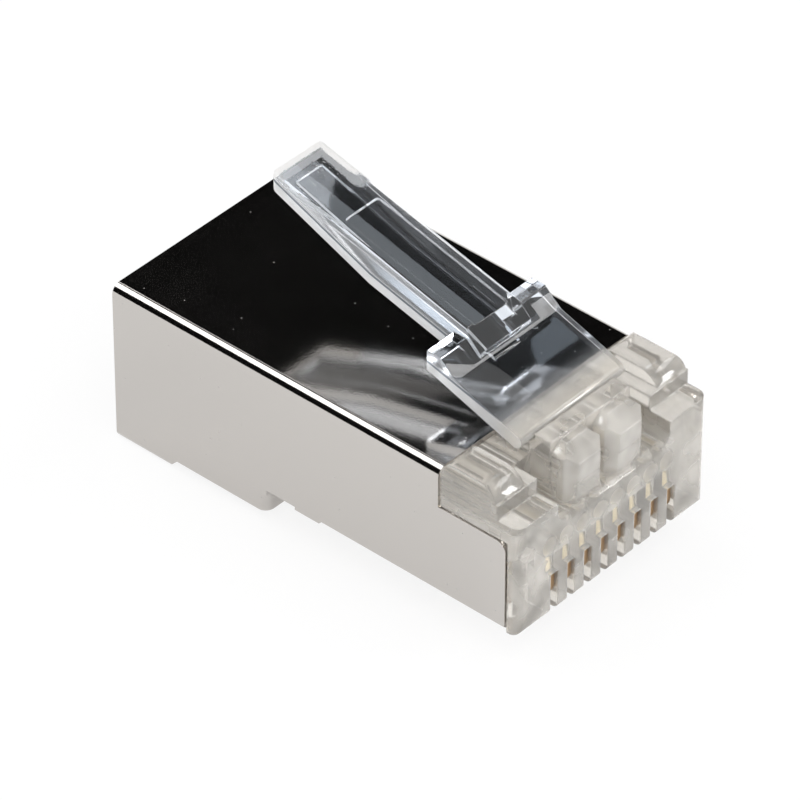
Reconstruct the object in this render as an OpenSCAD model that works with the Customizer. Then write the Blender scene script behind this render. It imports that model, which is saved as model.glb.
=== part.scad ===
// Shielded eight-contact modular plug: a clear moulded housing, its latch lever, a folded sheet
// shield and eight contact blades. Millimetres. X runs along the plug with the nose towards +X,
// Y runs across it and Z is up, with the latch on top and the contacts facing down.
// The origin is at the middle of the underside of the plug's box.

/* [Plug] */
// Length from the rear edge of the shield to the front face of the nose
plug_length = 21.65; // [20.5:0.05:24]
// Width across the outside of the shield
plug_width = 11.7; // [11.5:0.1:13]
// Height of the rear block over the shield
plug_height = 7.8; // [7.6:0.1:8.6]
// Length of the deep rear block
rear_block_length = 8.35; // [7:0.05:9]
// Step from the underside of the rear block up to the underside of the nose
nose_rise = 1.4; // [1.2:0.05:1.7]

/* [Shield] */
// Thickness of the folded sheet
sheet = 0.25; // [0.15:0.01:0.35]
// Outer radius of the sheet's bends along the top and at the tabs
bend_radius = 0.45; // [0.4:0.05:0.8]
// Inner radius of the sharper bends into the flanges
flange_bend = 0.06; // [0.05:0.01:0.2]
// Gap between the sheet and the housing
sheet_gap = 0.04; // [0.02:0.01:0.1]
// Distance from the shield's top front edge to the nose's front face
top_setback = 4.1; // [3.6:0.1:4.3]
// Distance from the shield's side walls to the nose's front face
side_setback = 0.6; // [0.4:0.05:0.8]
// Drop from the top of the shield to the upper edge of its side walls beside the nose
side_drop = 1.9; // [1.5:0.1:2.3]
// Radius of the side walls' upper front corner
side_corner = 0.45; // [0.2:0.05:1]
// Height of the side walls' lower edge above the underside of the nose
side_lift = 0.3; // [0.1:0.05:0.4]
// Length of the flanges that wrap under the rear block
flange_length = 2.9; // [2:0.05:3.5]
// Width of the seam between the two flanges
seam = 0.5; // [0.2:0.1:2]
// Height of the side walls' lower edge in front of the flanges
skirt_lift = 0.5; // [0.35:0.05:0.7]
// Distance that each step tab reaches in from its side wall
tab_reach = 3.2; // [2:0.1:4]
// Length of the notch in the side wall in front of the step
notch_length = 1.55; // [1:0.05:2]
// Length of the small lug in front of the notch
lug_length = 1.3; // [0.8:0.1:2]
// Drop of that lug below the side walls' lower edge
lug_drop = 0.15; // [0.1:0.01:0.2]

/* [Nose] */
// Drop from the top of the shield to the front lip under the latch root
lip_drop = 2; // [1.8:0.05:2.2]
// Drop from the top of the shield to the front plate at its sides
plate_drop = 1; // [0.8:0.05:1.2]
// Thickness of the front plate at its sides
plate_depth = 1.1; // [0.9:0.05:1.3]
// Half width of the recess around the latch root
recess_half = 3.4; // [3.2:0.05:3.6]
// Length of the recess, back from the front face
recess_length = 2.3; // [2.2:0.05:2.6]
// Width of each side shoulder
shoulder_width = 1.75; // [1.4:0.05:2.1]
// Height of the shoulders above the top of the shield
shoulder_proud = 0.3; // [0.2:0.01:0.4]
// Radius at the top front of the shoulders
shoulder_round = 1.1; // [0.5:0.05:1.3]
// Radius at the top rear of the shoulders
shoulder_rear = 0.5; // [0.3:0.05:0.7]
// Radius along the outer edge of the shoulders
shoulder_edge = 0.35; // [0.2:0.05:0.5]
// Distance from the nose's front rim in to the outside of the shield
rim_inset = 0.08; // [0.02:0.01:0.2]
// Radius of the nose's upright corners
nose_round = 0.5; // [0.2:0.05:0.7]
// Radius along the nose's lower edges
nose_edge = 0.3; // [0.1:0.05:0.5]
// Radius along the front edge of the lip
lip_round = 0.3; // [0.1:0.05:0.4]
// Radius of the scoop between the front lip and the latch root
scoop_radius = 0.8; // [0.4:0.05:0.9]

/* [Cable entry] */
// Side walls of the cable entry
entry_side = 1.2; // [1:0.1:1.6]
// Floor under the cable entry
entry_floor = 0.65; // [0.5:0.05:0.8]
// Roof over the cable entry
entry_roof = 0.9; // [0.7:0.05:1.1]
// Length of the funnel between the entry and the wire channels
funnel_length = 4; // [3:0.1:4.5]
// Diameter of the wire channels
wire_bore = 0.9; // [0.8:0.01:0.94]
// Height of the wire channels above the underside of the nose
wire_height = 3.2; // [3:0.05:3.4]
// Length of the cable clamp bar
clamp_length = 2.6; // [2:0.1:3]
// Width of the cable clamp bar
clamp_width = 6.4; // [5:0.1:7]

/* [Contacts] */
// Distance between neighbouring contacts
pitch = 1.016; // [1:0.002:1.06]
// Thickness of a contact blade
blade = 0.36; // [0.3:0.01:0.4]
// Gap on each side of a blade in its slot
blade_gap = 0.05; // [0.03:0.01:0.07]
// Length of a blade's body
blade_length = 3; // [2.6:0.1:3.2]
// Height of a blade's body
blade_height = 1.35; // [1.1:0.05:1.4]
// Depth of a blade's lower edge inside its slot
blade_recess = 0.6; // [0.4:0.05:0.7]
// Distance from a blade's front edge to the nose's front face
blade_setback = 0.15; // [0.1:0.05:0.5]
// Radius at a blade's lower front corner
blade_round = 0.65; // [0.4:0.05:0.8]
// Distance from the front prong to the blade's front edge
prong_setback = 0.7; // [0.6:0.05:0.9]
// Length of one piercing prong
prong_length = 0.7; // [0.5:0.05:0.8]

/* [Latch] */
// Distance from the hinge to the nose's front face
hinge_setback = 2.5; // [2.45:0.05:2.6]
// Height of the hinge above the top of the shield
hinge_lift = 0.65; // [0.55:0.01:0.8]
// Running gap around the hinge roll
hinge_gap = 0.05; // [0.03:0.01:0.1]
// Half width of the latch plate
latch_half = 3.15; // [2.9:0.05:3.3]
// Thickness of the latch plate
latch_plate = 0.65; // [0.5:0.01:0.8]
// Slope of the latch plate
plate_slope = 18; // [16:0.5:21]
// Distance from the hinge to the locking faces
lock_reach = 4.6; // [4.2:0.1:5]
// Height of the locking faces
lock_height = 0.95; // [0.8:0.05:1.2]
// Length of the flat on top of the locking faces
lock_flat = 0.7; // [0.4:0.05:1]
// Length of the ramp from that flat down to the plate
lock_ramp = 0.85; // [0.6:0.05:1.2]
// Half width of the lever
lever_half = 1.54; // [1.4:0.02:1.9]
// Thickness of the lever
lever_thick = 1.5; // [1.3:0.05:1.7]
// Radius of the lever's long top edges
lever_round = 0.25; // [0.15:0.05:0.35]
// Slope of the lever
lever_slope = 14; // [13:0.2:16]
// Distance from the hinge to the lever's tip
lever_reach = 14.35; // [12.5:0.05:15]
// Height of the lever's front edge above the locking faces
lever_step = 0.37; // [0.2:0.01:0.5]
// Length of the slanted end of the lever above the locking faces
lever_bevel = 0.85; // [0.5:0.05:1]
// Length of the thinned finger tip
tip_length = 5.3; // [4:0.1:6]
// Thickness of the finger tip's end
tip_thick = 0.72; // [0.6:0.02:0.9]
// Corner radius of the finger tip in plan
tip_round = 0.3; // [0.2:0.05:1]
// Half width of the shallow groove under the lever
groove_half = 0.77; // [0.5:0.01:0.9]
// Depth of that groove
groove_depth = 0.2; // [0.1:0.05:0.3]
// Distance from the end of that groove to the lever's tip
groove_end = 0.6; // [0.4:0.1:2]
// Half width of the shallow recess in the top of the lever
pad_half = 0.98; // [0.8:0.02:1.1]
// Depth of that recess
pad_depth = 0.06; // [0.03:0.01:0.15]
// Distance from the end of that recess to the lever's tip
pad_end = 3.5; // [2.5:0.1:5]
// Corner radius of that recess
pad_round = 0.15; // [0.1:0.05:0.4]
// Half width of the root block in front of the hinge
root_half = 2.4; // [2.3:0.05:2.6]
// Length of the root block in front of the hinge
root_length = 1.2; // [1:0.05:1.4]
// Distance between the middles of the two bosses in front of the root block
boss_spacing = 2.5; // [2.4:0.05:2.9]
// Width of each boss
boss_width = 2.2; // [1.8:0.05:2.3]
// Distance from the bosses' front faces to the nose's front face
boss_setback = 0.25; // [0.2:0.01:0.5]
// Drop from the top of the root block to the tops of the bosses
boss_drop = 0.15; // [0.05:0.05:0.4]
// Slant between the top and the front of each boss
boss_slant = 0.7; // [0.4:0.05:0.8]
// Bevel down the sides of each boss
boss_bevel = 0.45; // [0.2:0.05:0.6]

/* [Hidden] */
$fn = 48;
CONTACTS = 8;

// Overlap that makes a cut pass its face
over = 1;
// Places along the plug
x_front = plug_length / 2;
x_rear = -plug_length / 2;
x_step = x_rear + rear_block_length;
x_top_front = x_front - top_setback;
x_side_front = x_front - side_setback;
// The housing fills the shield, with the sheet gap around it
housing_half = plug_width / 2 - sheet - sheet_gap;
housing_top = plug_height - sheet - sheet_gap;
housing_floor = sheet + sheet_gap;
housing_corner = bend_radius - sheet;
rim_half = plug_width / 2 - rim_inset;
x_housing_rear = x_rear + sheet;
// Nose levels
lip_top = plug_height - lip_drop;
plate_top = plug_height - plate_drop;
side_top = plug_height - side_drop;
side_bottom = nose_rise + side_lift;
shoulder_top = plug_height + shoulder_proud;
shoulder_inner = rim_half - shoulder_width;
x_shoulder_front = x_front - plate_depth;
// Cable entry and wire channels
entry_half = housing_half - entry_side;
entry_bottom = housing_floor + entry_floor;
entry_top = housing_top - entry_roof;
wire_level = nose_rise + wire_height;
x_funnel_end = x_step + funnel_length;
clamp_slit = 0.35;
clamp_web = 0.25;
// Blades, from the front edge back
x_blade_front = x_front - blade_setback;
x_blade_rear = x_blade_front - blade_length;
blade_bottom = nose_rise + blade_recess;
blade_top = blade_bottom + blade_height;
slot_width = blade + 2 * blade_gap;
slot_top = blade_top + blade_gap;
prong_top = wire_level - wire_bore / 2;
x_prong_front = x_blade_front - prong_setback;
// Hinge, root block and bosses
hinge_roll = latch_plate / 2;
x_hinge = x_front - hinge_setback;
hinge_level = plug_height + hinge_lift;
x_root = x_hinge + root_length;
x_boss = x_front - boss_setback;
root_top = hinge_level + hinge_roll / 3;
boss_top = root_top - boss_drop;
root_foot = lip_top - nose_round;
// Latch outline, as distances behind the hinge and heights above it
plate_upright = hinge_roll / cos(plate_slope);
lever_upright = lever_thick / cos(lever_slope);
tip_upright = tip_thick / cos(lever_slope);
lock_low = lock_reach * tan(plate_slope) - plate_upright;
lock_high = lock_low + lock_height;
lever_front = lock_reach - lock_flat + lock_flat / 4;
function plate_over(u) = u * tan(plate_slope) + plate_upright;
function lever_over(u) = lock_high + lever_step + (u - lever_front) * tan(lever_slope);
function lever_under(u) = lever_over(u) - lever_upright
    + max(u - lever_reach + tip_length, 0) / tip_length * (lever_upright - tip_upright);
function contact_y(i) = (i - (CONTACTS + 1) / 2) * pitch;

// Raises an outline drawn in X and Z from y_low to y_high
module along_y(y_low, y_high) {
    translate([0, y_high, 0]) rotate([90, 0, 0]) linear_extrude(y_high - y_low) children();
}

// Raises an outline drawn in Y and Z from x_low to x_high
module along_x(x_low, x_high) {
    translate([x_low, 0, 0]) rotate([90, 0, 90]) linear_extrude(x_high - x_low) children();
}

// A rectangle between two corners
module span(low, high) {
    translate(low) square(high - low);
}

// What a round of radius r takes off a corner at the origin whose solid lies towards +X and +Y
module corner(r) {
    difference() {
        span([-over, -over], [r, r]);
        translate([r, r]) circle(r);
    }
}

// A rectangle between two corners with all four corners rounded
module rounded_span(low, high, r) {
    span([low.x + r, low.y], [high.x - r, high.y]);
    span([low.x, low.y + r], [high.x, high.y - r]);
    for (x = [low.x + r, high.x - r], y = [low.y + r, high.y - r]) translate([x, y]) circle(r);
}

// Side view of the body under the shield and of the nose up to its front lip
module body_outline() {
    span([x_housing_rear, housing_floor], [x_step - sheet - sheet_gap, housing_top]);
    difference() {
        span([x_step - sheet - 2 * sheet_gap, nose_rise], [x_front, plate_top]);
        translate([x_front, nose_rise]) rotate(90) corner(nose_edge);
    }
    span([x_step - sheet - 2 * sheet_gap, nose_rise], [x_shoulder_front, housing_top]);
}

// Side view of a shoulder
module shoulder_outline() {
    difference() {
        span([x_top_front + sheet_gap, nose_rise + over], [x_shoulder_front, shoulder_top]);
        translate([x_shoulder_front, shoulder_top]) rotate(180) corner(shoulder_round);
        translate([x_top_front + sheet_gap, shoulder_top]) rotate(-90) corner(shoulder_rear);
    }
}

// Front view of both shoulders, with their outer edges rounded
module shoulder_front() {
    for (side = [-1, 1]) scale([side, 1]) difference() {
        span([shoulder_inner, nose_rise], [rim_half, shoulder_top]);
        translate([rim_half, shoulder_top]) rotate(180) corner(shoulder_edge);
    }
}

// Plan of the housing, with a wider front rim whose upright corners are rounded
module housing_plan() {
    span([x_housing_rear, -housing_half], [x_front - nose_round, housing_half]);
    difference() {
        span([x_side_front + sheet_gap, -rim_half], [x_front, rim_half]);
        translate([x_front, rim_half]) rotate(180) corner(nose_round);
        translate([x_front, -rim_half]) rotate(90) corner(nose_round);
    }
}

// A block between two corners
module block(low, high) {
    translate(low) cube(high - low);
}

// One boss in front of the root block, with slanted and bevelled edges, about the middle plane
module boss() {
    rear = x_root - nose_round;
    half = boss_width / 2;
    intersection() {
        along_y(-half, half) polygon([
            [rear, root_foot],
            [x_boss, root_foot],
            [x_boss, boss_top - boss_slant],
            [x_boss - boss_slant, boss_top],
            [rear, boss_top]
        ]);
        along_x(rear, x_boss) polygon([
            [-half, root_foot],
            [half, root_foot],
            [half, boss_top - boss_bevel],
            [half - boss_bevel, boss_top],
            [boss_bevel - half, boss_top],
            [-half, boss_top - boss_bevel]
        ]);
        linear_extrude(2 * plug_height) polygon([
            [rear, -half],
            [x_boss - boss_bevel, -half],
            [x_boss, boss_bevel - half],
            [x_boss, half - boss_bevel],
            [x_boss - boss_bevel, half],
            [rear, half]
        ]);
    }
}

// Scoop that leads from the front lip up to the root block
module scoop() {
    along_y(-root_half, root_half) difference() {
        span([x_root - nose_round, root_foot], [x_root + scoop_radius, lip_top + scoop_radius]);
        translate([x_root + scoop_radius, lip_top + scoop_radius]) circle(scoop_radius);
    }
}

// Root block that carries the latch, with a groove for the hinge roll and two bosses in front
module root() {
    difference() {
        block([x_hinge + hinge_roll / 3, -root_half, root_foot], [x_root, root_half, root_top]);
        translate([x_hinge, 0, hinge_level]) rotate([90, 0, 0])
            cylinder(r = hinge_roll + hinge_gap, h = 2 * plug_width, center = true);
    }
    scoop();
    for (side = [-1, 1]) translate([0, side * boss_spacing / 2, 0]) boss();
}

// Side view of the cable entry and the funnel that leads to the wire channels
module entry_outline() {
    polygon([
        [x_rear - over, entry_bottom],
        [x_step - entry_floor - sheet, entry_bottom],
        [x_funnel_end, wire_level - wire_bore / 2],
        [x_funnel_end, wire_level + wire_bore / 2],
        [x_step, entry_top],
        [x_rear - over, entry_top]
    ]);
}

// Slot, prong slot and wire channel of one contact
module contact_space(i) {
    y = contact_y(i);
    along_y(y - slot_width / 2, y + slot_width / 2) {
        span([x_blade_rear - blade_gap, nose_rise - over], [x_front + over, slot_top]);
        span([x_prong_front - 2 * prong_length - blade_gap, nose_rise],
            [x_prong_front + blade_gap, wire_level]);
    }
    translate([x_funnel_end - over, y, wire_level]) rotate([0, 90, 0])
        cylinder(d = wire_bore, h = x_prong_front + prong_length / 4 - x_funnel_end + over);
}

// Slit around the clamp bar in the floor of the cable entry; a web stays at its front
module clamp_slits() {
    x_mid = x_rear + flange_length + (rear_block_length - flange_length) / 2;
    difference() {
        block([x_mid - clamp_length / 2 - clamp_slit, -clamp_width / 2 - clamp_slit, -over],
            [x_mid + clamp_length / 2, clamp_width / 2 + clamp_slit, entry_bottom + over]);
        block([x_mid - clamp_length / 2, -clamp_width / 2, -2 * over],
            [x_mid + clamp_length / 2 + over, clamp_width / 2, entry_bottom + 2 * over]);
    }
    block([x_mid + clamp_length / 2 - clamp_web, -clamp_width / 2 - clamp_slit, -over],
        [x_mid + clamp_length / 2, clamp_width / 2 + clamp_slit, entry_bottom - clamp_web]);
}

// Outside of the body with its shoulders, which stand out above the shield's side walls
module moulding() {
    intersection() {
        union() {
            along_y(-rim_half, rim_half) body_outline();
            intersection() {
                along_y(-rim_half, rim_half) shoulder_outline();
                along_x(x_top_front, x_front) shoulder_front();
            }
        }
        union() {
            linear_extrude(2 * plug_height) housing_plan();
            block([x_top_front + sheet_gap, -rim_half, side_top + sheet_gap],
                [x_front - nose_round, rim_half, 2 * plug_height]);
        }
    }
}

// What is taken off the body's long edges so that they clear the sheet's bends
module bend_reliefs() {
    along_x(x_rear - over, x_top_front + sheet_gap) for (side = [-1, 1]) scale([side, 1]) {
        translate([housing_half, housing_top]) rotate(180) corner(housing_corner);
        translate([housing_half, housing_floor]) rotate(90) corner(housing_corner);
    }
}

// Clear moulded body: rear block, nose, shoulders, latch root and contact comb
module housing() {
    color([0.86, 0.88, 0.88, 0.5]) difference() {
        union() {
            difference() {
                moulding();
                along_x(x_front - recess_length, x_front + over)
                    rounded_span([-recess_half, lip_top], [recess_half, 2 * plug_height], nose_round);
            }
            root();
        }
        along_y(nose_round - recess_half, recess_half - nose_round)
            translate([x_front, lip_top]) rotate(180) corner(lip_round);
        bend_reliefs();
        along_y(-entry_half, entry_half) entry_outline();
        for (i = [1 : CONTACTS]) contact_space(i);
        clamp_slits();
    }
}

// Latch lever and plate, moulded with the housing and bending at the hinge roll
module latch() {
    color([0.86, 0.88, 0.88, 0.5]) translate([x_hinge, 0, hinge_level]) difference() {
        union() {
            rotate([90, 0, 0]) cylinder(r = hinge_roll, h = 2 * latch_half, center = true);
            along_y(-latch_half, latch_half) plate_outline();
            intersection() {
                along_y(-lever_half, lever_half) lever_outline();
                linear_extrude(2 * lever_reach) lever_plan();
                translate([-lever_front, 0, lever_over(lever_front)]) rotate([0, lever_slope, 0])
                    along_x(-2 * lever_reach, lever_reach) lever_section();
            }
        }
        along_y(-groove_half, groove_half) groove_outline();
        intersection() {
            along_y(-pad_half, pad_half) pad_outline();
            linear_extrude(2 * lever_reach) pad_plan();
        }
    }
}

// Side view of the latch plate with its locking face
module plate_outline() {
    polygon([
        [hinge_roll * sin(plate_slope), hinge_roll * cos(plate_slope)],
        [-(lock_reach - lock_flat - lock_ramp), plate_over(lock_reach - lock_flat - lock_ramp)],
        [-(lock_reach - lock_flat), lock_high],
        [-lock_reach, lock_high],
        [-lock_reach, lock_low],
        [-hinge_roll * sin(plate_slope), -hinge_roll * cos(plate_slope)]
    ]);
}

// Side view of the lever
module lever_outline() {
    polygon([
        [-lever_front, lever_over(lever_front)],
        [-lever_reach, lever_over(lever_reach)],
        [-lever_reach, lever_under(lever_reach)],
        [-(lever_reach - tip_length), lever_under(lever_reach - tip_length)],
        [-lock_reach, lever_under(lock_reach)],
        [-(lever_front - lever_bevel), plate_over(lever_front - lever_bevel) - plate_upright],
        [-(lever_front - lever_bevel), lever_over(lever_front) - lever_bevel * cos(lever_slope)]
    ]);
}

// Plan of the lever, with its tip rounded
module lever_plan() {
    difference() {
        span([-lever_reach, -lever_half], [0, lever_half]);
        translate([-lever_reach, -lever_half]) corner(tip_round);
        translate([-lever_reach, lever_half]) rotate(-90) corner(tip_round);
    }
}

// Section of the lever, downward from its top, with its upper edges rounded
module lever_section() {
    difference() {
        span([-lever_half, -2 * lever_reach], [lever_half, 0]);
        translate([-lever_half, 0]) rotate(-90) corner(lever_round);
        translate([lever_half, 0]) rotate(180) corner(lever_round);
    }
}

// Side view of the groove under the lever
module groove_outline() {
    near = lever_front - lever_bevel;
    knee = lever_reach - tip_length;
    far = lever_reach - groove_end;
    polygon([
        [-near, lever_under(near) - over],
        [-near, lever_under(near) + groove_depth],
        [-knee, lever_under(knee) + groove_depth],
        [-far, lever_under(far) + groove_depth],
        [-far, lever_under(near) - over]
    ]);
}

// Side view of the recess in the top of the lever, open at the lever's front edge
module pad_outline() {
    near = lever_front - over;
    far = lever_reach - pad_end;
    polygon([
        [-near, lever_over(near) - pad_depth],
        [-far, lever_over(far) - pad_depth],
        [-far, lever_over(far) + over],
        [-near, lever_over(near) + over]
    ]);
}

// Plan of that recess, with its far corners rounded
module pad_plan() {
    far = lever_reach - pad_end;
    difference() {
        span([-far, -pad_half], [0, pad_half]);
        translate([-far, -pad_half]) corner(pad_round);
        translate([-far, pad_half]) rotate(-90) corner(pad_round);
    }
}

// Side view of the shield
module shield_outline() {
    x_notch = x_step + notch_length;
    x_lug = x_notch + lug_length;
    difference() {
        polygon([
            [x_rear, 0],
            [x_rear + flange_length, 0],
            [x_rear + flange_length + skirt_lift, skirt_lift],
            [x_step, skirt_lift],
            [x_step, side_bottom],
            [x_notch, side_bottom],
            [x_notch, side_bottom - lug_drop],
            [x_lug, side_bottom - lug_drop],
            [x_lug + lug_drop, side_bottom],
            [x_side_front, side_bottom],
            [x_side_front, side_top],
            [x_top_front, side_top],
            [x_top_front, plug_height],
            [x_rear, plug_height]
        ]);
        translate([x_side_front, side_top]) rotate(180) corner(side_corner);
    }
}

// Front view of the plug's box, this far inside it, with upper and lower corners rounded
module wrap_front(inset, upper, lower) {
    half = plug_width / 2 - inset;
    difference() {
        span([-half, inset], [half, plug_height - inset]);
        for (side = [-1, 1]) scale([side, 1]) {
            translate([half, plug_height - inset]) rotate(180) corner(upper);
            translate([half, inset]) rotate(90) corner(lower);
        }
    }
}

// Front view of the sheet's wrap
module shield_wrap() {
    difference() {
        wrap_front(0, bend_radius, flange_bend + sheet);
        wrap_front(sheet, bend_radius - sheet, flange_bend);
        span([-seam / 2, -over], [seam / 2, 2 * sheet]);
    }
}

// Plan of the two tabs that turn in from the side walls at the step
module tab_plan() {
    low = [x_step - 4 * bend_radius, -plug_width / 2];
    high = [x_step, plug_width / 2];
    difference() {
        rounded_span(low, high, bend_radius);
        rounded_span(low + [-over, sheet], high - [sheet, sheet], bend_radius - sheet);
        span([low.x - over, -plug_width], [x_step - bend_radius, plug_width]);
        span([low.x, low.y + tab_reach], [x_step + over, high.y - tab_reach]);
    }
}

// Folded sheet jacket with flanges under its rear and tabs at its step
module shield() {
    color([0.76, 0.75, 0.74]) {
        difference() {
            intersection() {
                along_x(x_rear, x_side_front) shield_wrap();
                along_y(-plug_width, plug_width) shield_outline();
            }
            block([x_step - bend_radius, -plug_width, skirt_lift - over],
                [x_step + over, plug_width, nose_rise]);
        }
        translate([0, 0, skirt_lift]) linear_extrude(nose_rise - skirt_lift) tab_plan();
    }
}

// One contact blade: rounded body, two piercing prongs
module contact(i) {
    color([0.86, 0.72, 0.36]) along_y(contact_y(i) - blade / 2, contact_y(i) + blade / 2) {
        difference() {
            span([x_blade_rear, blade_bottom], [x_blade_front, blade_top]);
            translate([x_blade_front, blade_bottom]) rotate(90) corner(blade_round);
        }
        for (k = [0, 1]) translate([x_prong_front - k * prong_length, blade_top])
            polygon([
                [0, -blade_gap],
                [0, prong_top - blade_top - blade_gap],
                [-prong_length / 2, prong_top - blade_top],
                [-prong_length, blade_gap],
                [-prong_length, -blade_gap]
            ]);
    }
}

housing();
latch();
shield();
for (i = [1 : CONTACTS]) contact(i);
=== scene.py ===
"""Looks of a shielded modular plug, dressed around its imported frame: plating, clear plastic and gold."""
import math

import bpy
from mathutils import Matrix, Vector


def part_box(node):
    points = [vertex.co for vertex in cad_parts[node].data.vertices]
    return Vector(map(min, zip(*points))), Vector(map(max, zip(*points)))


MM = 0.001

# Camera, fitted to the picture: angles in degrees, the rest in millimetres
CAMERA_AZIMUTH = 41.73
CAMERA_ELEVATION = 38.75
CAMERA_DISTANCE = 277.9
CAMERA_LENS = 310.2
CAMERA_SENSOR = 36
CAMERA_NEAR = 10
CAMERA_FAR = 10000
# The point looked at, and how far the view is shifted across and up from it
LOOK_AT = (0.245, 0, 4)
LOOK_ACROSS = -0.542
LOOK_UP = 0.248

# Floor and sky
FLOOR_SIZE = 4000
FLOOR_PAINT = (0.97, 0.97, 0.97, 1)
FLOOR_GLOW = 0.85
FLOOR_SHINE = 0.5
WHITE = (1, 1, 1, 1)
SKY_STRENGTH = 0.92
# Black cards: azimuth and elevation in degrees, then distance, width and height in millimetres
CARD_SHADE = (0.005, 0.005, 0.005, 1)
CARDS = {
    "back_card": (195, 35.5, 600, 650, 522),
    "side_card": (-38, 20, 600, 320, 540),
    "low_card": (231, 16, 600, 300, 320),
    "bend_card": (243, 54, 610, 130, 120),
}
# Soft lamps: as the cards, then the strength and the colour
LAMP_WHITE = (1, 1, 1)
LAMP_BLUE = (0.84, 0.92, 1)
LAMPS = {
    "softbox": (-85, 57, 600, 700, 260, 1.7, LAMP_WHITE),
    "front_box": (35, 32, 600, 600, 600, 0.85, LAMP_WHITE),
    "rim_lamp": (128, 20.5, 600, 110, 125, 15, LAMP_WHITE),
    "lip_lamp": (153, 48, 590, 210, 110, 5, LAMP_WHITE),
    "edge_lamp": (-15, 40, 600, 80, 80, 8, LAMP_WHITE),
    "top_lamp": (196.5, 59.3, 590, 90, 115, 2.1, LAMP_BLUE),
}

# Softened edges: sizes in millimetres, angles in degrees
METAL_BEVEL = 0.03
PLASTIC_BEVEL = 0.06
BEVEL_SEGMENTS = 3
BEVEL_ANGLE = 30
WELD_DISTANCE = 0.0005
FLAT_ANGLE = 0.3
CREASE_ANGLE = 35
FACE_WEIGHT = 100

# Sockets of a mix node that carry colours
MIX_LOW = 6
MIX_HIGH = 7
MIX_RESULT = 2

# Plastic
PLASTIC_IOR = 1.585
CLEAR = (0.88, 0.93, 1, 1)
FROSTED = (0.95, 0.94, 0.925, 1)
CLOUDY = (0.985, 0.948, 0.888, 1)

# Lever, as modelled: its tilt in degrees, and its thickness, which tapers from the knee to the tip
LEVER_TILT = 14
LEVER_THICK = 1.5
TIP_THICK = 0.72
KNEE = 5.3
# How rough and how clear the lever's plastic is, without frost and with full frost
LEVER_ROUGH = (0.02, 0.5)
LEVER_CLEAR = (0.99, 0.35)
# Frosted near wall: how far its faces turn sideways, and where the near half begins
WALL_FACING = (0.4, 0.8)
WALL_NEAR = (0, -1)
WALL_FROST = 0.75
WALL_CLEARER = 0.45
WALL_FADE = 0.2
# Thin dark line painted along the frosted wall as painted shade, in place of a dark edge seen through the
# plastic; measured up from its lower edge
LINE_UP = 0.52
LINE_HALF = 0.08
PAINTED_LINE_SHADE = (0.12, 0.14, 0.17, 1)
# Wear, in millimetres from the tip or across the lever, broken up by fine noise
RIM_WORN = (0.5, 0.1)
SIDE_WORN = (2.9, 1.7)
SIDE_ACROSS = (0.8, 1.3)
WEAR_SCALE = 16
WEAR_DETAIL = 5
WEAR_EDGE = (1.0, 1.2)
# Dust near the tip: cells per millimetre, size in cells, share of cells kept
TIP_DUST = (7, 0.2, 0.6)
TIP_DUSTY = (3, 0.5)
# Haze at the hinge, in millimetres from the root
ROOTED = (-1.7, -0.4)
ROOT_FROST = 0.32
# Bulge of the lever's top, and how far its faces turn up
CROWN_RADIUS = 29
CROWN_FACING = (0.9, 0.95)

# Housing: how clear its skin is between the haze's patches, and how rough
BODY_CLEAR = (0.65, 0.84)
HAZE_SCALE = 0.8
HAZE_RANGE = (0.3, 0.7)
SKIN_ROUGH = 0.12
EDGE_RADIUS = 0.13
EDGE_SAMPLES = 6
# Its zones, in millimetres: behind the front face, and by height and distance from the middle
INNER_BEHIND = (-0.02, -0.1)
INNER_BELOW = (5.2, 5.0)
INNER_ASIDE = (4.6, 4.5)
INNER_CLEAR = 0.78
CHANNEL_ABOVE = (4.1, 4.3)
CHANNEL_ROUGH = 0.45
WINDOW_ABOVE = (2.5, 3.1)
WINDOW_BELOW = (4.9, 4.3)
WINDOW_ASIDE = (5, 3.6)
WINDOW_CLEAR = 0.85
SHOULDER_ABOVE = (5.8, 6.6)
SHOULDER_ASIDE = (2.5, 2.9)
SHOULDER_CLEAR = 0.8
BOSS_ASIDE = (2.5, 2.2)
BOSS_ABOVE = (5.6, 6)
BOSS_HAZE = 0.09

# Shield: noise in features per millimetre, bump in millimetres, dust as on the tip
SHIELD_SHADE = (0.555, 0.53, 0.505, 1)
DUST_SHADE = (0.42, 0.41, 0.4, 1)
SHIELD_DUST = (4, 0.14, 0.05)
SHIELD_ROUGH = (0.07, 0.12)
SHIELD_HAZE = 0.6
GRAIN_SCALE = 9
GRAIN_DETAIL = 2
GRAIN_STRENGTH = 0.18
GRAIN_DEPTH = 0.01

# Contacts: gold darkened to brown below a level in millimetres as painted shade of the slots, and pale gold
# above
GOLD_PAINTED_SHADE = (0.38, 0.25, 0.14, 1)
GOLD_PALE = (0.95, 0.85, 0.55, 1)
GOLD_ABOVE = (3.1, 3.4)
GOLD_ROUGH = (0.3, 0.45)
GOLD_HAZE = 2


def direction(azimuth, elevation):
    """Unit vector from the plug towards a place round it; azimuth 0 is in front of the near side."""
    a = math.radians(azimuth)
    e = math.radians(elevation)
    return Vector((math.sin(a) * math.cos(e), -math.cos(a) * math.cos(e), math.sin(e)))


def add_camera():
    back = direction(CAMERA_AZIMUTH, CAMERA_ELEVATION)
    right = direction(CAMERA_AZIMUTH + 90, 0)
    up = back.cross(right)
    target = Vector(LOOK_AT) + right * LOOK_ACROSS + up * LOOK_UP
    data = bpy.data.cameras.new("camera")
    data.lens = CAMERA_LENS
    data.sensor_width = CAMERA_SENSOR
    data.clip_start = CAMERA_NEAR * MM
    data.clip_end = CAMERA_FAR * MM
    camera = bpy.data.objects.new("camera", data)
    camera.location = (target + back * CAMERA_DISTANCE) * MM
    camera.rotation_mode = "QUATERNION"
    camera.rotation_quaternion = (-back).to_track_quat("-Z", "Y")
    bpy.context.scene.collection.objects.link(camera)
    bpy.context.scene.camera = camera


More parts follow.
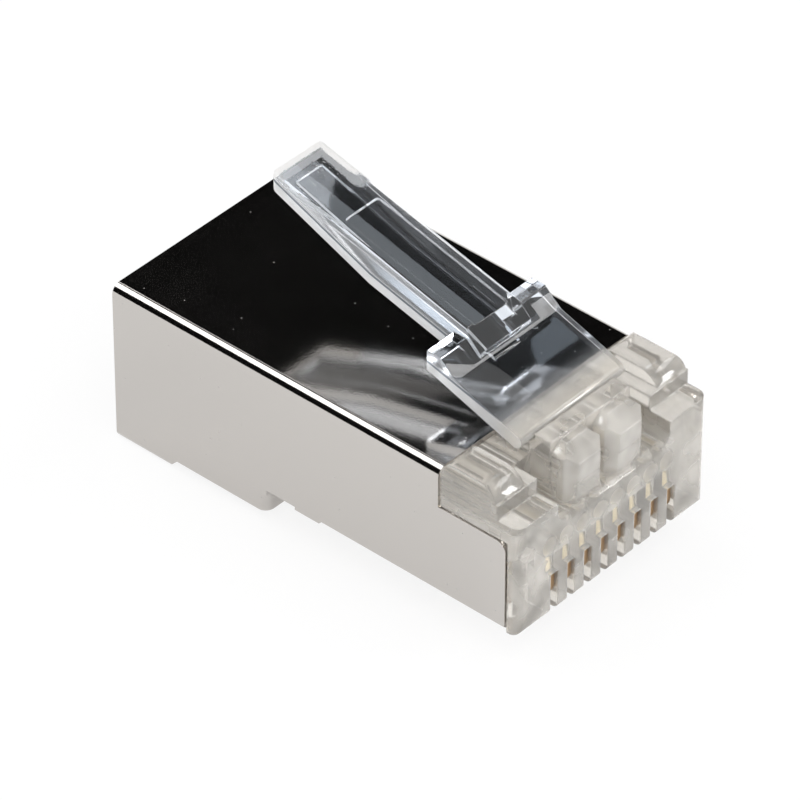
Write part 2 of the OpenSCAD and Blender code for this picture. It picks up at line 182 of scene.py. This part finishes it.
def new_material(name):
    """A new node material, its node tree and its Principled shader wired to the output."""
    material = bpy.data.materials.new(name)
    material.use_nodes = True
    tree = material.node_tree
    shader = tree.nodes["Principled BSDF"]
    return material, tree, shader


def add_node(tree, kind, **values):
    """A node with its properties and input sockets set by name."""
    node = tree.nodes.new(kind)
    for key, value in values.items():
        if key in node.inputs:
            node.inputs[key].default_value = value
        else:
            setattr(node, key, value)
    return node


def object_noise(tree, scale, detail=3):
    """Noise from 0 to 1 in the plug's own coordinates, in features per millimetre."""
    where = add_node(tree, "ShaderNodeTexCoord")
    mapping = add_node(tree, "ShaderNodeMapping", Scale=[scale / MM] * 3)
    noise = add_node(tree, "ShaderNodeTexNoise", Scale=1.0, Detail=detail)
    tree.links.new(where.outputs["Object"], mapping.inputs["Vector"])
    tree.links.new(mapping.outputs["Vector"], noise.inputs["Vector"])
    return noise.outputs["Fac"]


def spread(tree, value, ends, start=0, end=1):
    """A value that runs from start to end, taken to a range between two ends."""
    node = add_node(tree, "ShaderNodeMapRange")
    node.inputs["From Min"].default_value = start
    node.inputs["From Max"].default_value = end
    node.inputs["To Min"].default_value = ends[0]
    node.inputs["To Max"].default_value = ends[1]
    tree.links.new(value, node.inputs["Value"])
    return node.outputs["Result"]


def add_math(tree, operation, first, second=None):
    """A maths node on sockets or plain numbers; returns its result."""
    node = add_node(tree, "ShaderNodeMath", operation=operation)
    for value, socket in zip((first, second), node.inputs):
        if isinstance(value, (int, float)):
            socket.default_value = value
        elif value is not None:
            tree.links.new(value, socket)
    return node.outputs["Value"]


def product(tree, first, *others):
    """Masks and plain numbers multiplied together; the first one is a mask."""
    for other in others:
        first = add_math(tree, "MULTIPLY", first, other)
    return first


def largest(tree, first, *others):
    """The largest of several masks."""
    for other in others:
        first = add_math(tree, "MAXIMUM", first, other)
    return first


def step_up(tree, value, start, end):
    """0 before start and 1 past end, with a soft step between."""
    node = add_node(tree, "ShaderNodeMapRange", interpolation_type="SMOOTHSTEP")
    node.inputs["From Min"].default_value = start
    node.inputs["From Max"].default_value = end
    tree.links.new(value, node.inputs["Value"])
    return node.outputs["Result"]


def fade(tree, value, ends, base=0):
    """A soft step between two places, in millimetres from a base in metres."""
    return step_up(tree, value, base + ends[0] * MM, base + ends[1] * MM)


def split(tree, output):
    """The three parts of the texture coordinate of that name, in the object's own space."""
    where = add_node(tree, "ShaderNodeTexCoord")
    parts = add_node(tree, "ShaderNodeSeparateXYZ")
    tree.links.new(where.outputs[output], parts.inputs["Vector"])
    return parts.outputs["X"], parts.outputs["Y"], parts.outputs["Z"]


def mix_colour(tree, value, low, high):
    """A colour between two by a 0 to 1 value; the low one may be a socket."""
    mix = add_node(tree, "ShaderNodeMix", data_type="RGBA")
    if isinstance(low, tuple):
        mix.inputs[MIX_LOW].default_value = low
    else:
        tree.links.new(low, mix.inputs[MIX_LOW])
    mix.inputs[MIX_HIGH].default_value = high
    tree.links.new(value, mix.inputs["Factor"])
    return mix.outputs[MIX_RESULT]


def dust(tree, scale, size, share):
    """1 on a few small specks: their cells per millimetre, their size in cells, the share of cells kept."""
    where = add_node(tree, "ShaderNodeTexCoord")
    cells = add_node(tree, "ShaderNodeTexVoronoi", Scale=scale / MM)
    tree.links.new(where.outputs["Object"], cells.inputs["Vector"])
    near = step_up(tree, cells.outputs["Distance"], size, size / 2)
    pick = add_node(tree, "ShaderNodeSeparateColor")
    tree.links.new(cells.outputs["Color"], pick.inputs["Color"])
    kept = add_math(tree, "GREATER_THAN", pick.outputs["Red"], 1 - share)
    return product(tree, near, kept)


def plastic(name):
    material, tree, shader = new_material(name)
    shader.inputs["IOR"].default_value = PLASTIC_IOR
    return material, tree, shader


def near_wall(tree, x, y, z):
    """Frost on the lever's near wall, clearer above a thin line along its lower edge, and that line, a dark
    line painted as shade in place of a dark edge seen through the plastic.
    """
    _, sideways, _ = split(tree, "Normal")
    wall = step_up(tree, add_math(tree, "ABSOLUTE", sideways), *WALL_FACING)
    near = product(tree, wall, fade(tree, y, WALL_NEAR))
    low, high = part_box("latch")
    tilt = math.radians(LEVER_TILT)
    from_tip = add_math(tree, "SUBTRACT", x, low[0])
    top = add_math(tree, "SUBTRACT", high[2], product(tree, from_tip, math.tan(tilt)))
    depth = product(tree, add_math(tree, "SUBTRACT", top, z), math.cos(tilt))
    along = add_math(tree, "MINIMUM", add_math(tree, "DIVIDE", from_tip, KNEE * MM), 1)
    taper = product(tree, along, (LEVER_THICK - TIP_THICK) * MM)
    up = add_math(tree, "SUBTRACT", add_math(tree, "ADD", taper, TIP_THICK * MM), depth)
    off_line = add_math(tree, "ABSOLUTE", add_math(tree, "SUBTRACT", up, LINE_UP * MM))
    # The painted dark line: shade painted along the wall, in place of a dark edge seen through the plastic
    painted_line = fade(tree, off_line, (LINE_HALF, LINE_HALF / 2))
    above = product(tree, fade(tree, up, (LINE_UP, LINE_UP + WALL_FADE)), WALL_CLEARER)
    frost = product(tree, near, add_math(tree, "SUBTRACT", WALL_FROST, above))
    return frost, product(tree, painted_line, near)


def worn_tip(tree, x, y, tip):
    """Wear on the tip's rim and along its far side, broken up by fine noise."""
    noise = object_noise(tree, WEAR_SCALE, WEAR_DETAIL)
    rim = fade(tree, x, RIM_WORN, tip)
    far_side = product(tree, fade(tree, x, SIDE_WORN, tip), fade(tree, y, SIDE_ACROSS))
    reach = largest(tree, rim, far_side)
    return step_up(tree, add_math(tree, "ADD", reach, noise), *WEAR_EDGE)


def lever_plastic():
    """Clear plastic with a frosted near wall that carries a painted dark line of shade, a slightly crowned
    top, a scuffed tip and a hazy hinge.
    """
    material, tree, shader = plastic("clear_plastic")
    low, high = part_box("latch")
    tip = low[0]
    root = high[0]
    x, y, z = split(tree, "Object")
    wall, painted_line = near_wall(tree, x, y, z)
    worn = worn_tip(tree, x, y, tip)
    spots = product(tree, dust(tree, *TIP_DUST), fade(tree, x, TIP_DUSTY, tip))
    rooted = fade(tree, x, ROOTED, root)
    white = largest(tree, wall, worn, spots)
    frost = largest(tree, white, product(tree, rooted, ROOT_FROST))
    shade = mix_colour(tree, white, CLEAR, FROSTED)
    # Painted shade: the dark line along the near wall
    shade = mix_colour(tree, painted_line, shade, PAINTED_LINE_SHADE)
    shade = mix_colour(tree, rooted, shade, CLOUDY)
    tree.links.new(shade, shader.inputs["Base Color"])
    tree.links.new(spread(tree, frost, LEVER_ROUGH), shader.inputs["Roughness"])
    tree.links.new(spread(tree, frost, LEVER_CLEAR), shader.inputs["Transmission Weight"])
    crown(tree, shader, y)
    return material


def crown(tree, shader, across):
    """Tilts the shading of upward faces as if they were bulged across the lever."""
    _, _, upward = split(tree, "Normal")
    plain = add_node(tree, "ShaderNodeNewGeometry")
    outside = add_math(tree, "SUBTRACT", 1, plain.outputs["Backfacing"])
    top = product(tree, step_up(tree, upward, *CROWN_FACING), outside)
    tilt = add_math(tree, "DIVIDE", across, CROWN_RADIUS * MM)
    shift = add_node(tree, "ShaderNodeCombineXYZ")
    tree.links.new(product(tree, tilt, top), shift.inputs["Y"])
    bent = add_node(tree, "ShaderNodeVectorMath", operation="ADD")
    tree.links.new(plain.outputs["Normal"], bent.inputs[0])
    tree.links.new(shift.outputs["Vector"], bent.inputs[1])
    unit = add_node(tree, "ShaderNodeVectorMath", operation="NORMALIZE")
    tree.links.new(bent.outputs["Vector"], unit.inputs[0])
    tree.links.new(unit.outputs["Vector"], shader.inputs["Normal"])


def body_plastic():
    """Cloudy plastic: a patchy haze on the skin, clear inside the slots, rough along the wire channels."""
    material, tree, shader = plastic("cloudy_plastic")
    shader.inputs["Base Color"].default_value = CLOUDY
    haze = object_noise(tree, HAZE_SCALE, 1)
    x, y, z = split(tree, "Object")
    aside = add_math(tree, "ABSOLUTE", y)
    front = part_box("housing")[1][0]
    behind = fade(tree, x, INNER_BEHIND, front)
    inner = product(tree, behind, fade(tree, z, INNER_BELOW), fade(tree, aside, INNER_ASIDE))
    channel = product(tree, inner, fade(tree, z, CHANNEL_ABOVE), CHANNEL_ROUGH)
    rough = largest(tree, product(tree, haze, SKIN_ROUGH), channel)
    tree.links.new(rough, shader.inputs["Roughness"])

    bars = product(tree, fade(tree, z, WINDOW_ABOVE), fade(tree, z, WINDOW_BELOW))
    window = product(tree, bars, fade(tree, aside, WINDOW_ASIDE), WINDOW_CLEAR)
    shoulder = product(tree, fade(tree, z, SHOULDER_ABOVE), SHOULDER_CLEAR, fade(tree, aside, SHOULDER_ASIDE))
    boss = product(tree, fade(tree, aside, BOSS_ASIDE), fade(tree, z, BOSS_ABOVE), BOSS_HAZE)
    skin = add_math(tree, "SUBTRACT", spread(tree, haze, BODY_CLEAR, *HAZE_RANGE), boss)
    clear = largest(tree, skin, window, product(tree, inner, INNER_CLEAR), shoulder)
    tree.links.new(clear, shader.inputs["Transmission Weight"])

    edges = add_node(tree, "ShaderNodeBevel", samples=EDGE_SAMPLES, Radius=EDGE_RADIUS * MM)
    tree.links.new(edges.outputs["Normal"], shader.inputs["Normal"])
    return material


def plated_shield():
    """Mirror plating, a little uneven under its shine, with specks of dust."""
    material, tree, shader = new_material("plated_shield")
    specks = dust(tree, *SHIELD_DUST)
    tree.links.new(mix_colour(tree, specks, SHIELD_SHADE, DUST_SHADE), shader.inputs["Base Color"])
    tree.links.new(spread(tree, specks, (1, 0)), shader.inputs["Metallic"])
    haze = object_noise(tree, SHIELD_HAZE)
    tree.links.new(spread(tree, haze, SHIELD_ROUGH), shader.inputs["Roughness"])
    bump = add_node(tree, "ShaderNodeBump", Strength=GRAIN_STRENGTH, Distance=GRAIN_DEPTH * MM)
    tree.links.new(object_noise(tree, GRAIN_SCALE, GRAIN_DETAIL), bump.inputs["Height"])
    tree.links.new(bump.outputs["Normal"], shader.inputs["Normal"])
    return material


def gold_contact():
    """Gold plating: pale on the prongs, darkened to brown on the blades' edges as painted shade of the slots.
    """
    material, tree, shader = new_material("gold_contact")
    _, _, z = split(tree, "Object")
    # Painted shade: below this height the gold is darkened to brown, where the blades sit in the slots
    upper = fade(tree, z, GOLD_ABOVE)
    tree.links.new(mix_colour(tree, upper, GOLD_PAINTED_SHADE, GOLD_PALE), shader.inputs["Base Color"])
    shader.inputs["Metallic"].default_value = 1
    haze = object_noise(tree, GOLD_HAZE)
    tree.links.new(spread(tree, haze, GOLD_ROUGH), shader.inputs["Roughness"])
    return material


def dress(node, material, bevel):
    """Gives a CAD node its material, and softens its edges by a small bevel in millimetres."""
    node.data.materials.clear()
    node.data.materials.append(material)
    weld = node.modifiers.new("weld", "WELD")
    weld.merge_threshold = WELD_DISTANCE * MM
    flat = node.modifiers.new("flat", "DECIMATE")
    flat.decimate_type = "DISSOLVE"
    flat.angle_limit = math.radians(FLAT_ANGLE)
    edge = node.modifiers.new("edge", "BEVEL")
    edge.width = bevel * MM
    edge.segments = BEVEL_SEGMENTS
    edge.limit_method = "ANGLE"
    edge.angle_limit = math.radians(BEVEL_ANGLE)
    crease = node.modifiers.new("split", "EDGE_SPLIT")
    crease.split_angle = math.radians(CREASE_ANGLE)
    normals = node.modifiers.new("normals", "WEIGHTED_NORMAL")
    normals.keep_sharp = False
    normals.weight = FACE_WEIGHT


def add_plane(name, middle, facing, width, height, material):
    """A rectangle of the stage, in millimetres, that faces along a direction."""
    bpy.ops.mesh.primitive_plane_add(size=1)
    plane = bpy.context.object
    plane.name = name
    plane.scale = (width * MM, height * MM, 1)
    plane.location = Vector(middle) * MM
    plane.rotation_mode = "QUATERNION"
    plane.rotation_quaternion = Vector(facing).to_track_quat("Z", "Y")
    plane.data.materials.append(material)
    return plane


def floor_material():
    """White floor: glows for the camera and in reflections, and keeps some of the plug's shadow."""
    material, tree, shader = new_material("floor")
    tree.nodes.remove(shader)
    output = tree.nodes["Material Output"]
    paint = add_node(tree, "ShaderNodeBsdfDiffuse", Color=FLOOR_PAINT)
    glow = add_node(tree, "ShaderNodeEmission", Color=WHITE, Strength=1.0)
    mix = add_node(tree, "ShaderNodeMixShader")
    path = add_node(tree, "ShaderNodeLightPath")
    seen = largest(tree, path.outputs["Is Camera Ray"], path.outputs["Is Transmission Ray"])
    plain = product(tree, seen, FLOOR_GLOW)
    mirrored = product(tree, path.outputs["Is Glossy Ray"], FLOOR_SHINE)
    tree.links.new(largest(tree, plain, mirrored), mix.inputs["Fac"])
    tree.links.new(paint.outputs["BSDF"], mix.inputs[1])
    tree.links.new(glow.outputs["Emission"], mix.inputs[2])
    tree.links.new(mix.outputs["Shader"], output.inputs["Surface"])
    return material


def black_card():
    material, _, shader = new_material("black_card")
    shader.inputs["Base Color"].default_value = CARD_SHADE
    shader.inputs["Roughness"].default_value = 1
    shader.inputs["Specular IOR Level"].default_value = 0
    return material


def add_card(name, azimuth, elevation, distance, width, height, material):
    """A card that stands round the plug, faces it and is only seen in reflections."""
    way = direction(azimuth, elevation)
    card = add_plane(name, way * distance, -way, width, height, material)
    card.visible_camera = False


def add_softbox(name, azimuth, elevation, distance, width, height, strength, colour):
    """A soft lamp round the plug, as bright as a surface of that strength."""
    way = direction(azimuth, elevation)
    data = bpy.data.lights.new(name, "AREA")
    data.shape = "RECTANGLE"
    data.color = colour
    data.size = width * MM
    data.size_y = height * MM
    data.energy = strength * math.pi * data.size * data.size_y
    lamp = bpy.data.objects.new(name, data)
    lamp.location = way * distance * MM
    lamp.rotation_mode = "QUATERNION"
    lamp.rotation_quaternion = way.to_track_quat("Z", "Y")
    lamp.visible_camera = False
    bpy.context.scene.collection.objects.link(lamp)


def add_stage():
    add_plane("floor", (0, 0, 0), (0, 0, 1), FLOOR_SIZE, FLOOR_SIZE, floor_material())
    black = black_card()
    for name, place in CARDS.items():
        add_card(name, *place, black)
    for name, place in LAMPS.items():
        add_softbox(name, *place)
    world = bpy.data.worlds.new("world")
    world.use_nodes = True
    sky = world.node_tree.nodes["Background"]
    sky.inputs["Color"].default_value = WHITE
    sky.inputs["Strength"].default_value = SKY_STRENGTH
    bpy.context.scene.world = world
    bpy.context.scene.view_settings.view_transform = "Standard"


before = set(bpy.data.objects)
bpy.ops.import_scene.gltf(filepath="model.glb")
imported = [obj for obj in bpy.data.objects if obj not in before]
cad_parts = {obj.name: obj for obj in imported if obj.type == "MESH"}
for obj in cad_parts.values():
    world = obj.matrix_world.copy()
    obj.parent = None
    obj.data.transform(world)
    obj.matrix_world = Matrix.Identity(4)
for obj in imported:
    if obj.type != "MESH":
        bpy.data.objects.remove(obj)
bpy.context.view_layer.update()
add_camera()
add_stage()

lever = lever_plastic()
body = body_plastic()
plating = plated_shield()
gold = gold_contact()
for name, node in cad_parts.items():
    if name == "shield":
        dress(node, plating, METAL_BEVEL)
    elif name.startswith("contact_"):
        dress(node, gold, METAL_BEVEL)
    elif name == "latch":
        dress(node, lever, PLASTIC_BEVEL)
    else:
        dress(node, body, PLASTIC_BEVEL)
